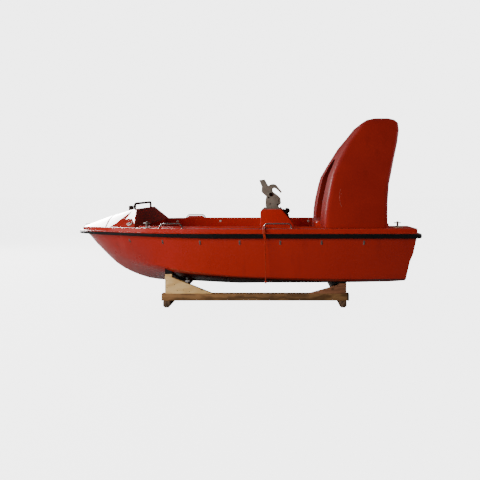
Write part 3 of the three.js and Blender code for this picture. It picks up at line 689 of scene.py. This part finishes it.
dress("bow_bitt", DARK_STEEL, width=0.001, segments=2, paint=(0.003, 0.003, 0))
dress("mooring_post_fore", DULL_STEEL)
dress("locker_hinge", STAINLESS)
for end in ("front", "rear"):
    dress("cradle_sleeper_" + end, SLEEPER_WOOD, width=0.003, segments=2)
    dress("cradle_keel_block_" + end, DARK_BLOCK, width=0.002, segments=2)
    dress("cradle_saddle_" + end, SADDLE_RUBBER)


# Small fittings, each modelled round the origin with its back on Z = 0 and set on the surface it
# is fixed to, which a ray finds. The rays start beside, above or astern of the boat, or inside.
BESIDE = 2
ABOVE = 2
ASTERN = 3
INSIDE = 0.3


def surface_of(node):
    bm = merged_copy(node)
    tree = BVHTree.FromBMesh(bm)
    bm.free()
    return tree


HULL_SKIN = surface_of("hull")
DECK_SKIN = surface_of("deck")
CUDDY_SKIN = surface_of("cuddy")
ARCH_SKIN = surface_of("righting_arch")


# Place and outward direction of the surface where a ray meets it
def hit(skin, start, direction):
    return skin.ray_cast(Vector(start), Vector(direction))[:2]


def seat_at(place, outward, up=(0, 0, 1)):
    z = Vector(outward).normalized()
    x = Vector(up).cross(z).normalized()
    turn = Matrix((x, z.cross(x), z)).transposed().to_4x4()
    return Matrix.Translation(place) @ turn


def join(bm, other):
    mesh = bpy.data.meshes.new("other")
    other.to_mesh(mesh)
    other.free()
    bm.from_mesh(mesh)
    bpy.data.meshes.remove(mesh)


# One copy of the shape at each seat
def settle(bm, seats):
    pattern = bm.copy()
    bm.clear()
    for seat in seats:
        one = pattern.copy()
        bmesh.ops.transform(one, matrix=seat, verts=one.verts)
        join(bm, one)
    pattern.free()
    return bm


def outward_faces(bm):
    bmesh.ops.recalc_face_normals(bm, faces=bm.faces)
    return bm


# Each item once, in the order in which they come
def once(items):
    return list(dict.fromkeys(items))


def finish_fitting(name, bm, seats, material, body="boat"):
    finish_piece(name, outward_faces(settle(bm, seats)), material, body)


def add_plate(bm, width, height, thick, place=(0, 0, 0), corner=0.002):
    size = Matrix.Diagonal((width, height, thick, 1))
    lift = Matrix.Translation(Vector(place) + Vector((0, 0, thick / 2)))
    new = bmesh.ops.create_cube(bm, size=1, matrix=lift @ size)["verts"]
    edges = once(edge for vert in new for edge in vert.link_edges)
    bmesh.ops.bevel(
        bm, geom=edges, offset=min(corner, thick * 0.4), offset_type="OFFSET", segments=2,
        profile=0.5, affect="EDGES", material=-1,
    )


# Round disc whose front edge is rounded over the share of its thickness that crown says
def add_disc(bm, radius, thick, place=(0, 0, 0), segments=24, crown=0.3):
    lift = Matrix.Translation(Vector(place) + Vector((0, 0, thick / 2)))
    new = bmesh.ops.create_cone(
        bm, cap_ends=True, segments=segments, radius1=radius, radius2=radius, depth=thick,
        matrix=lift,
    )["verts"]
    front = place[2] + thick * 0.9
    rim = [
        edge for edge in once(edge for vert in new for edge in vert.link_edges)
        if all(vert.co.z > front for vert in edge.verts)
    ]
    bmesh.ops.bevel(
        bm, geom=rim, offset=thick * crown, offset_type="OFFSET", segments=3, profile=0.5,
        affect="EDGES", material=-1,
    )


# Bent round rod: part of a ring of the bend radius in the plane of Y and Z, swept by angle
def add_hoop(bm, radius, bend, angle, place=(0, 0, 0), start=0.0, steps=14):
    begin = Matrix.Translation(place) @ Matrix.Rotation(rad(start), 4, "X")
    circle = begin @ Matrix.Translation((0, bend, 0))
    verts = bmesh.ops.create_circle(
        bm, cap_ends=True, segments=10, radius=radius, matrix=circle
    )["verts"]
    faces = once(face for vert in verts for face in vert.link_faces)
    bmesh.ops.spin(
        bm, geom=faces, cent=Vector(place), axis=(1, 0, 0), angle=rad(angle), steps=steps,
        use_duplicate=False,
    )


# Six-sided head on a washer, both given by the radius of the head
def hex_bolt(bm, size):
    washer = size * 0.22
    add_disc(bm, size * 1.15, washer)
    add_disc(bm, size, size * 0.75, place=(0, 0, washer), segments=6, crown=0.2)


# Hooks for the grab line, along the hull below the strake, each with two rivets
HOOK_LINE_X = (-1.306, -0.855, -0.395, 0.080, 0.564, 1.059, 1.564)
HOOK_LINE_Z = 0.832
HOOK_RIVETS_Y = (-0.0185, 0.018)


def make_line_hooks():
    bm = bmesh.new()
    add_plate(bm, width=0.020, height=0.052, thick=0.003)
    add_hoop(bm, radius=0.0035, bend=0.011, angle=215, place=(0, -0.010, 0.012), start=-170)
    for y in HOOK_RIVETS_Y:
        add_disc(bm, radius=0.0045, thick=0.003, place=(0, y, 0.003), segments=12)
    seats = [
        seat_at(*hit(HULL_SKIN, (x, side * BESIDE, HOOK_LINE_Z), (0, -side, 0)))
        for side in SIDES for x in HOOK_LINE_X
    ]
    finish_fitting("grab_line_hooks", bm, seats, DULL_STEEL)


# Round caps on the inner faces of the side decks, each with a screw
CAPS_X = (-1.061, -0.387, 1.025)
CAPS_Z = 0.958


def make_coaming_caps():
    bm = bmesh.new()
    add_disc(bm, radius=0.019, thick=0.006, crown=0.45)
    add_disc(bm, radius=0.007, thick=0.003, place=(0, 0, 0.005), segments=16)
    seats = [
        seat_at(*hit(DECK_SKIN, (x, side * INSIDE, CAPS_Z), (0, side, 0)))
        for side in SIDES for x in CAPS_X
    ]
    finish_fitting("coaming_caps", bm, seats, WHITE_PLASTIC)


# Flanges under the feet of the grab rails and of the cuddy rail, each with three screws. A rail's
# feet are its vertices within a small height of its lowest.
FOOT_HEIGHT = 0.002
FLANGE_THICK = 0.004
SCREW_CIRCLE = 0.0145
CUDDY_RAIL_X = -1.372
CUDDY_RAIL_RADIUS = 0.011


def rail_feet(node):
    points = [vert.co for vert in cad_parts[node].data.vertices]
    lowest = min(p.z for p in points)
    low = [p for p in points if p.z < lowest + FOOT_HEIGHT]
    middle = sum(p.x for p in low) / len(low)
    ends = ([p for p in low if p.x < middle], [p for p in low if p.x >= middle])
    return [sum(end, Vector()) / len(end) for end in ends]


def make_rail_flanges():
    bm = bmesh.new()
    add_disc(bm, radius=0.019, thick=FLANGE_THICK, segments=28)
    for angle in (0, 120, 240):
        x, y = SCREW_CIRCLE * math.cos(rad(angle)), SCREW_CIRCLE * math.sin(rad(angle))
        add_disc(bm, radius=0.003, thick=0.002, place=(x, y, FLANGE_THICK), segments=8)
    rails = [
        f"handrail_{part}_{side}" for part in ("fore", "mid") for side in ("port", "starboard")
    ]
    feet = [foot for rail in rails for foot in rail_feet(rail)]
    seats = [
        seat_at((foot.x, foot.y, DECK_Z + SEAT_GAP), (0, 0, 1), up=(0, 1, 0)) for foot in feet
    ]
    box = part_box("cuddy_rail")
    for y in (box[0].y + CUDDY_RAIL_RADIUS, box[1].y - CUDDY_RAIL_RADIUS):
        place, outward = hit(CUDDY_SKIN, (CUDDY_RAIL_X, y, ABOVE), (0, 0, -1))
        seats.append(seat_at(place, outward, up=(0, 1, 0)))
    finish_fitting("rail_flanges", bm, seats, STAINLESS)


# Open fairleads: one on each shoulder of the foredeck and one at the stem
SIDE_FAIRLEAD_X = -1.300
SIDE_FAIRLEAD_Z = 1.030
STEM_FAIRLEAD_X = -2.160


def make_side_fairleads():
    bm = bmesh.new()
    add_hoop(bm, radius=0.0095, bend=0.024, angle=290, start=35)
    settle(bm, [Matrix.Translation((0, 0, 0.008)) @ Matrix.Rotation(rad(90), 4, "Y")])
    seats = [
        seat_at(*hit(
            CUDDY_SKIN, (SIDE_FAIRLEAD_X, side * BESIDE, SIDE_FAIRLEAD_Z), (0, -side, 0)
        ))
        for side in SIDES
    ]
    finish_fitting("side_fairleads", bm, seats, WHITE_PLASTIC)


def make_stem_fairlead():
    bm = bmesh.new()
    add_plate(bm, width=0.060, height=0.085, thick=0.005, corner=0.004)
    for side in SIDES:
        add_hoop(
            bm, radius=0.006, bend=0.020, angle=150, place=(side * 0.020, 0, 0.004), start=10
        )
    place, outward = hit(DECK_SKIN, (STEM_FAIRLEAD_X, 0, ABOVE), (0, 0, -1))
    seats = [seat_at(place, outward, up=(1, 0, 0))]
    finish_fitting("stem_fairlead", bm, seats, STAINLESS)


# Moulded joint across the foredeck, two narrow bands cut from its own surface that meet on the
# middle line, and the least upward direction of the faces that count as foredeck
FOREDECK_JOINT_X = -1.746
FOREDECK_JOINT_SLANT = 0.17
FOREDECK_JOINT_HALF = 0.009
FOREDECK_JOINT_THICK = 0.0015
FOREDECK_UP = 0.3


def make_foredeck_joint():
    bm = bmesh.new()
    for side in SIDES:
        band = merged_copy("cuddy")
        across = Vector((1, -side * FOREDECK_JOINT_SLANT, 0))
        cuts = [((0, 0, 0), (0, side, 0))]
        for way in (1, -1):
            edge_x = FOREDECK_JOINT_X - way * FOREDECK_JOINT_HALF
            cuts.append(((edge_x, 0, 0), way * across))
        for place, inward in cuts:
            bmesh.ops.bisect_plane(
                band, geom=band.verts[:] + band.edges[:] + band.faces[:], plane_co=place,
                plane_no=inward, clear_inner=True,
            )
        hidden = [face for face in band.faces if face.normal.z < FOREDECK_UP]
        bmesh.ops.delete(band, geom=hidden, context="FACES")
        join(bm, band)
    bmesh.ops.solidify(bm, geom=bm.faces[:], thickness=-FOREDECK_JOINT_THICK)
    finish_piece("foredeck_joint", outward_faces(bm), SEALANT)


# Instrument panel on the slope of the console: the slope's top and foot, how far the panel is to
# port, its thickness, and the gauges as X, Y and radius on it
DASH_TOP = Vector((0.588, 0, 1.197))
DASH_FOOT = Vector((0.714, 0, 1.047))
DASH_SHIFT = Vector((0, -0.07, 0))
DASH_THICK = 0.004
GAUGES = (
    (-0.060, 0.012, 0.040), (0.040, 0.018, 0.030), (0.040, -0.040, 0.014), (0.080, -0.040, 0.014)
)

# Only the two large gauges have faces, which stand on the rims and carry the marks
DIALS = GAUGES[:2]
DIAL_SHARE = 0.86
DIAL_Z = 0.014
MARK_THICK = 0.0006
MARKS_Z = 0.0146
TICKS = 11
TICK_STEP = 27
FIRST_TICK = 135
NEEDLE_TURN = 120

# Row of switches below the gauges
SWITCHES = 4
FIRST_SWITCH_X = -0.105
SWITCH_STEP = 0.026
SWITCH_Y = -0.052


def dash_seat():
    slope = (DASH_FOOT - DASH_TOP).normalized()
    outward = Vector((-slope.z, 0, slope.x))
    return seat_at((DASH_TOP + DASH_FOOT) / 2 + DASH_SHIFT, outward)


def make_dash_panel():
    bm = bmesh.new()
    add_plate(bm, width=0.260, height=0.150, thick=DASH_THICK, corner=0.0015)
    for x, y, radius in GAUGES:
        add_disc(bm, radius, thick=0.010, place=(x, y, DASH_THICK), segments=32, crown=0.25)
    for index in range(SWITCHES):
        place = (FIRST_SWITCH_X + index * SWITCH_STEP, SWITCH_Y, DASH_THICK)
        add_plate(bm, width=0.014, height=0.022, thick=0.008, place=place)
    finish_fitting("dash_panel", bm, [dash_seat()], PLASTIC)


# Thin bar on a dial at x and y, its middle at reach from the centre, turned by so many degrees
def add_mark(bm, x, y, width, length, reach, turn):
    bar = bmesh.new()
    add_plate(bar, width, length, MARK_THICK, place=(0, reach, 0))
    seat = Matrix.Translation((x, y, MARKS_Z)) @ Matrix.Rotation(rad(turn), 4, "Z")
    join(bm, settle(bar, [seat]))


def make_gauge_faces():
    bm = bmesh.new()
    for x, y, radius in DIALS:
        place = (x, y, DIAL_Z)
        add_disc(bm, radius * DIAL_SHARE, MARK_THICK, place, segments=32, crown=0.2)
    finish_fitting("gauge_faces", bm, [dash_seat()], GAUGE_FACE)
    bm = bmesh.new()
    for x, y, radius in DIALS:
        for step in range(TICKS):
            turn = FIRST_TICK - TICK_STEP * step
            add_mark(bm, x, y, width=0.0012, length=radius * 0.16, reach=radius * 0.72, turn=turn)
        add_mark(
            bm, x, y, width=0.0018, length=radius * 0.62, reach=radius * 0.24, turn=NEEDLE_TURN
        )
    finish_fitting("gauge_marks", bm, [dash_seat()], GAUGE_WHITE)


# Bolts of the recovery hook: four through its base, two through each cheek
BASE_BOLTS_X = (0.352, 0.574)
BASE_BOLTS_Y = (-0.058, 0.058)
CHEEK_BOLTS = ((0.404, 1.352), (0.535, 1.252))


def make_hook_bolts():
    bm = bmesh.new()
    hex_bolt(bm, size=0.010)
    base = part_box("hook_base")
    top = base[1].z + SEAT_GAP
    seats = [
        seat_at((x, y, top), (0, 0, 1), up=(0, 1, 0)) for x in BASE_BOLTS_X for y in BASE_BOLTS_Y
    ]
    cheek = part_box("hook_cheek_port")
    for side in SIDES:
        for x, z in CHEEK_BOLTS:
            seats.append(seat_at((x, side * abs(cheek[0].y), z), (0, side, 0)))
    finish_fitting("hook_bolts", bm, seats, PIN_STEEL)


# Nail heads in the outer faces of the front gussets, as X and Z
NAILS = (
    (-0.845, 0.245), (-0.845, 0.330), (-0.751, 0.283),
    (-0.714, 0.208), (-0.564, 0.196), (-0.640, 0.215),
)
GUSSET_FACE_Y = 0.680


def make_cradle_nails():
    bm = bmesh.new()
    add_disc(bm, radius=0.0045, thick=0.0012, segments=12)
    seats = [
        seat_at((x, side * GUSSET_FACE_Y, z), (0, side, 0)) for side in SIDES for x, z in NAILS
    ]
    finish_fitting("cradle_nails", bm, seats, DARK_STEEL)


# Bands round the after ends of the beams: their width, how far their middle is from the end, and
# how far they stand out
BAND_WIDTH = 0.022
BAND_INSET = 0.010
BAND_SIDE = 0.0015
BAND_TOP = 0.001


def make_beam_bands():
    bm = bmesh.new()
    for side in ("port", "starboard"):
        low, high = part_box("cradle_beam_" + side)
        foot = Vector((high.x - BAND_INSET, (low.y + high.y) / 2, low.z - BAND_TOP))
        across, upright = high.y - low.y + 2 * BAND_SIDE, high.z - low.z + 2 * BAND_TOP
        add_plate(bm, BAND_WIDTH, across, upright, place=foot, corner=0.001)
    finish_piece("beam_end_bands", outward_faces(bm), RUBBER)


# Pale scuff on the port side of the arch, a shallow arc with two spots beside it
SCUFF_X = 1.285
SCUFF_Z = 1.37
SCUFF_BEND = 0.30
SCUFF_SPOTS_Y = (0.045, -0.105)


def make_arch_scuff():
    bm = bmesh.new()
    arc = bmesh.new()
    add_hoop(arc, radius=0.0018, bend=SCUFF_BEND, angle=42, start=249)
    seat = Matrix.Translation((SCUFF_BEND, 0, 0)) @ Matrix.Rotation(rad(90), 4, "Y")
    join(bm, settle(arc, [seat]))
    for y in SCUFF_SPOTS_Y:
        add_disc(bm, radius=0.005, thick=0.0008, place=(0.022, y, 0), segments=12)
    seats = [seat_at(*hit(ARCH_SKIN, (SCUFF_X, -BESIDE, SCUFF_Z), (0, 1, 0)))]
    finish_fitting("arch_scuff", bm, seats, SCUFF)


# Pale pads under the after mooring posts
def make_post_pads():
    bm = bmesh.new()
    for side in ("port", "starboard"):
        low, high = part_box("mooring_post_aft_" + side)
        foot = Vector(((low.x + high.x) / 2, (low.y + high.y) / 2, low.z + SEAT_GAP))
        add_plate(bm, width=0.110, height=0.090, thick=0.005, place=foot)
    finish_piece("mooring_post_pads", outward_faces(bm), PAD_RESIN)


# Drain plugs in the transom
PLUGS_Y = (-0.30, 0.30)
PLUGS_Z = 0.42


def make_drain_plugs():
    bm = bmesh.new()
    add_disc(bm, radius=0.032, thick=0.006, segments=32)
    add_disc(bm, radius=0.018, thick=0.010, place=(0, 0, 0.005), segments=8, crown=0.2)
    seats = [seat_at(*hit(HULL_SKIN, (ASTERN, y, PLUGS_Z), (-1, 0, 0))) for y in PLUGS_Y]
    finish_fitting("drain_plugs", bm, seats, STAINLESS)


# Latch on the locker door, whose face stands out from the bulkhead
DOOR_PROUD = 0.023
LATCH_Y = 0.235


def make_door_latch():
    bm = bmesh.new()
    add_plate(bm, width=0.050, height=0.070, thick=0.004, corner=0.003)
    add_hoop(bm, radius=0.004, bend=0.018, angle=180, place=(0, 0, 0.004))
    low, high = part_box("locker_door")
    place = (BULKHEAD_X + DOOR_PROUD, LATCH_Y, (low.z + high.z) / 2)
    seats = [seat_at(place, (1, 0, 0))]
    finish_fitting("door_latch", bm, seats, STAINLESS, body="locker_door")


# Rope lanyard from the fore leg of the port mid grab rail: the cord, two more strands along its
# head, a hitch of two turns round the leg and a knot at its end
LANYARD_DIAMETER = 0.010
LANYARD_ROUTE = (
    (0.373, -0.8476, 1.012), (0.3726, -0.868, 1.0116), (0.372, -0.888, 1.0105),
    (0.371, -0.906, 1.0065), (0.370, -0.922, 0.999), (0.3695, -0.935, 0.988),
    (0.3695, -0.945, 0.975), (0.3705, -0.952, 0.960), (0.373, -0.956, 0.944),
    (0.377, -0.958, 0.926), (0.381, -0.9585, 0.906), (0.384, -0.9585, 0.884),
    (0.3855, -0.958, 0.860), (0.386, -0.9575, 0.830), (0.3865, -0.957, 0.795),
    (0.387, -0.957, 0.755), (0.388, -0.957, 0.710), (0.389, -0.957, 0.660),
    (0.390, -0.957, 0.605), (0.391, -0.957, 0.545), (0.392, -0.957, 0.480),
    (0.393, -0.957, 0.425), (0.394, -0.957, 0.374),
)
HEAD_POINTS = slice(1, 12)
STRAND_DIAMETER = 0.0105
STRAND_SHIFTS = (("lanyard_fore_strand", -0.0095), ("lanyard_aft_strand", 0.0095))
KNOT_DIAMETER = 0.009
KNOT_SIZE = 0.0042
KNOT_LIFT = 0.004
HITCH_Y = -0.838
HITCH_DIAMETER = 0.010
HITCH_RADIUS = 0.0145
HITCH_PITCH = 0.011


def rope_curve(name, points, diameter, closed=False):
    data = bpy.data.curves.new(name, "CURVE")
    data.dimensions = "3D"
    data.bevel_depth = diameter / 2
    data.bevel_resolution = 4
    data.use_fill_caps = not closed
    spline = data.splines.new("BEZIER")
    spline.bezier_points.add(len(points) - 1)
    for knot, place in zip(spline.bezier_points, points):
        knot.co = place
        knot.handle_left_type = knot.handle_right_type = "AUTO"
    spline.use_cyclic_u = closed
    data.materials.append(ROPE)
    piece = bpy.data.objects.new(name, data)
    bpy.context.scene.collection.objects.link(piece)
    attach(piece, "boat")
    return piece


# Trefoil knot in the plane of X and Z
def knot_points(centre, size, count=24):
    points = []
    for step in range(count):
        turn = 2 * math.pi * step / count
        x = math.sin(turn) + 2 * math.sin(2 * turn)
        y = -math.sin(3 * turn)
        z = math.cos(turn) - 2 * math.cos(2 * turn)
        points.append((centre[0] + size * x, centre[1] + size * y, centre[2] + size * z))
    return points


# Turns round an upright leg
def hitch_points(centre, radius, turns=2, per_turn=8):
    points = []
    for step in range(turns * per_turn + 1):
        angle = 2 * math.pi * step / per_turn - math.pi / 2
        rise = (step / per_turn - turns / 2) * HITCH_PITCH
        x, y = centre[0] + radius * math.cos(angle), centre[1] + radius * math.sin(angle)
        points.append((x, y, centre[2] + rise))
    return points


def make_lanyard():
    cord = rope_curve("rope_lanyard", LANYARD_ROUTE, LANYARD_DIAMETER)
    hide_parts("lanyard")
    head = LANYARD_ROUTE[HEAD_POINTS]
    strands = [
        rope_curve(name, [(x + shift, y, z) for x, y, z in head], STRAND_DIAMETER)
        for name, shift in STRAND_SHIFTS
    ]
    x, y, z = LANYARD_ROUTE[-1]
    loops = knot_points((x, y, z + KNOT_LIFT), KNOT_SIZE)
    knot = rope_curve("lanyard_knot", loops, KNOT_DIAMETER, closed=True)
    x, y, z = LANYARD_ROUTE[0]
    hitch = rope_curve("lanyard_hitch", hitch_points((x, HITCH_Y, z), HITCH_RADIUS), HITCH_DIAMETER)
    pairs = zip(LANYARD_ROUTE, LANYARD_ROUTE[1:])
    length = sum((Vector(b) - Vector(a)).length for a, b in pairs)


make_line_hooks()
make_coaming_caps()
make_rail_flanges()
make_side_fairleads()
make_stem_fairlead()
make_foredeck_joint()
make_dash_panel()
make_gauge_faces()
make_hook_bolts()
make_cradle_nails()
make_beam_bands()
make_arch_scuff()
make_post_pads()
make_drain_plugs()
make_door_latch()
make_lanyard()


# Floor, light and camera

FLOOR_HALF = 60
FLOOR_GREY = rgb(0.16, 0.15, 0.145)

# Colour of the key, and the place that most lights point at
WARM = (1.0, 0.97, 0.95)
BOAT_MIDDLE = (0, 0, 0.8)


# The floor and the background are white to the camera alone, so that the boat is lit by the lights
def white_to_camera(tree, surface, strength):
    camera_ray = add_node(tree, "ShaderNodeLightPath").outputs["Is Camera Ray"]
    glow = add_node(tree, "ShaderNodeEmission", {"Strength": times(tree, camera_ray, strength)})
    return add_node(tree, "ShaderNodeAddShader", {0: surface, 1: glow.outputs[0]}).outputs[0]


def pale_floor():
    bm = bmesh.new()
    bmesh.ops.create_grid(bm, x_segments=1, y_segments=1, size=FLOOR_HALF)
    mesh = bpy.data.meshes.new("studio_floor")
    bm.to_mesh(mesh)
    bm.free()
    floor = bpy.data.objects.new("studio_floor", mesh)
    bpy.context.scene.collection.objects.link(floor)
    material, tree, shader = new_material("pale_floor", Base_Color=FLOOR_GREY, Roughness=0.9)
    surface = tree.nodes["Material Output"].inputs["Surface"]
    tree.links.new(white_to_camera(tree, shader.outputs[0], FLOOR_WHITE), surface)
    mesh.materials.append(material)


def soft_light(name, place, target, size, power, colour=(1, 1, 1)):
    data = bpy.data.lights.new(name, "AREA")
    data.shape = "RECTANGLE"
    data.size, data.size_y = size
    data.energy = power
    data.color = colour
    light = bpy.data.objects.new(name, data)
    light.location = place
    light.rotation_euler = (Vector(target) - Vector(place)).to_track_quat("-Z", "Y").to_euler()
    bpy.context.scene.collection.objects.link(light)
    return light


# The key and one fill give no reflections. The glare is only a reflection, which turns the
# foredeck white, as in the photo.
def studio_light():
    world = bpy.data.worlds.new("studio")
    bpy.context.scene.world = world
    world.use_nodes = True
    tree = world.node_tree
    shader = tree.nodes["Background"]
    camera_ray = add_node(tree, "ShaderNodeLightPath").outputs["Is Camera Ray"]
    strength = ramp(tree, camera_ray, 0, 1, WORLD_LIGHT, WORLD_WHITE)
    tree.links.new(strength, shader.inputs["Strength"])
    shader.inputs["Color"].default_value = rgb(1.0, 1.0, 1.0)
    key = soft_light(
        "port_bow_key", place=(-4.8, -6.6, 3.0), target=BOAT_MIDDLE, size=(6.0, 4.0), power=600,
        colour=WARM,
    )
    key.visible_glossy = False
    soft_light(
        "bow_sheen", place=(-7.8, -4.3, 2.6), target=BOAT_MIDDLE, size=(4.5, 3.0), power=70
    )
    glare = soft_light(
        "foredeck_glare", place=(-6.9, 5.0, 4.65), target=(-6.9, 0, 4.65), size=(6.0, 6.5),
        power=5000,
    )
    glare.visible_diffuse = False
    fill = soft_light(
        "starboard_fill", place=(-5.0, 6.5, 3.2), target=BOAT_MIDDLE, size=(4.0, 3.0), power=330
    )
    fill.visible_glossy = False
    soft_light(
        "stern_fill", place=(7.0, 0.5, 3.2), target=(1.0, 0, 0.8), size=(3.0, 2.0), power=220
    )
    soft_light("top_fill", place=(-1.0, 0.5, 8.0), target=(0, 0, 0), size=(8, 6), power=50)


def photo_camera():
    data = bpy.data.cameras.new("photo_camera")
    data.sensor_width = SENSOR
    data.lens = FOCAL_PIXELS / PICTURE * SENSOR
    data.shift_x = (PICTURE / 2 - VANISHING_POINT[0]) / PICTURE
    data.shift_y = (VANISHING_POINT[1] - PICTURE / 2) / PICTURE
    camera = bpy.data.objects.new("photo_camera", data)
    camera.location = EYE
    camera.rotation_euler = (rad(90), 0, 0)
    bpy.context.scene.collection.objects.link(camera)
    bpy.context.scene.camera = camera


pale_floor()
studio_light()
photo_camera()
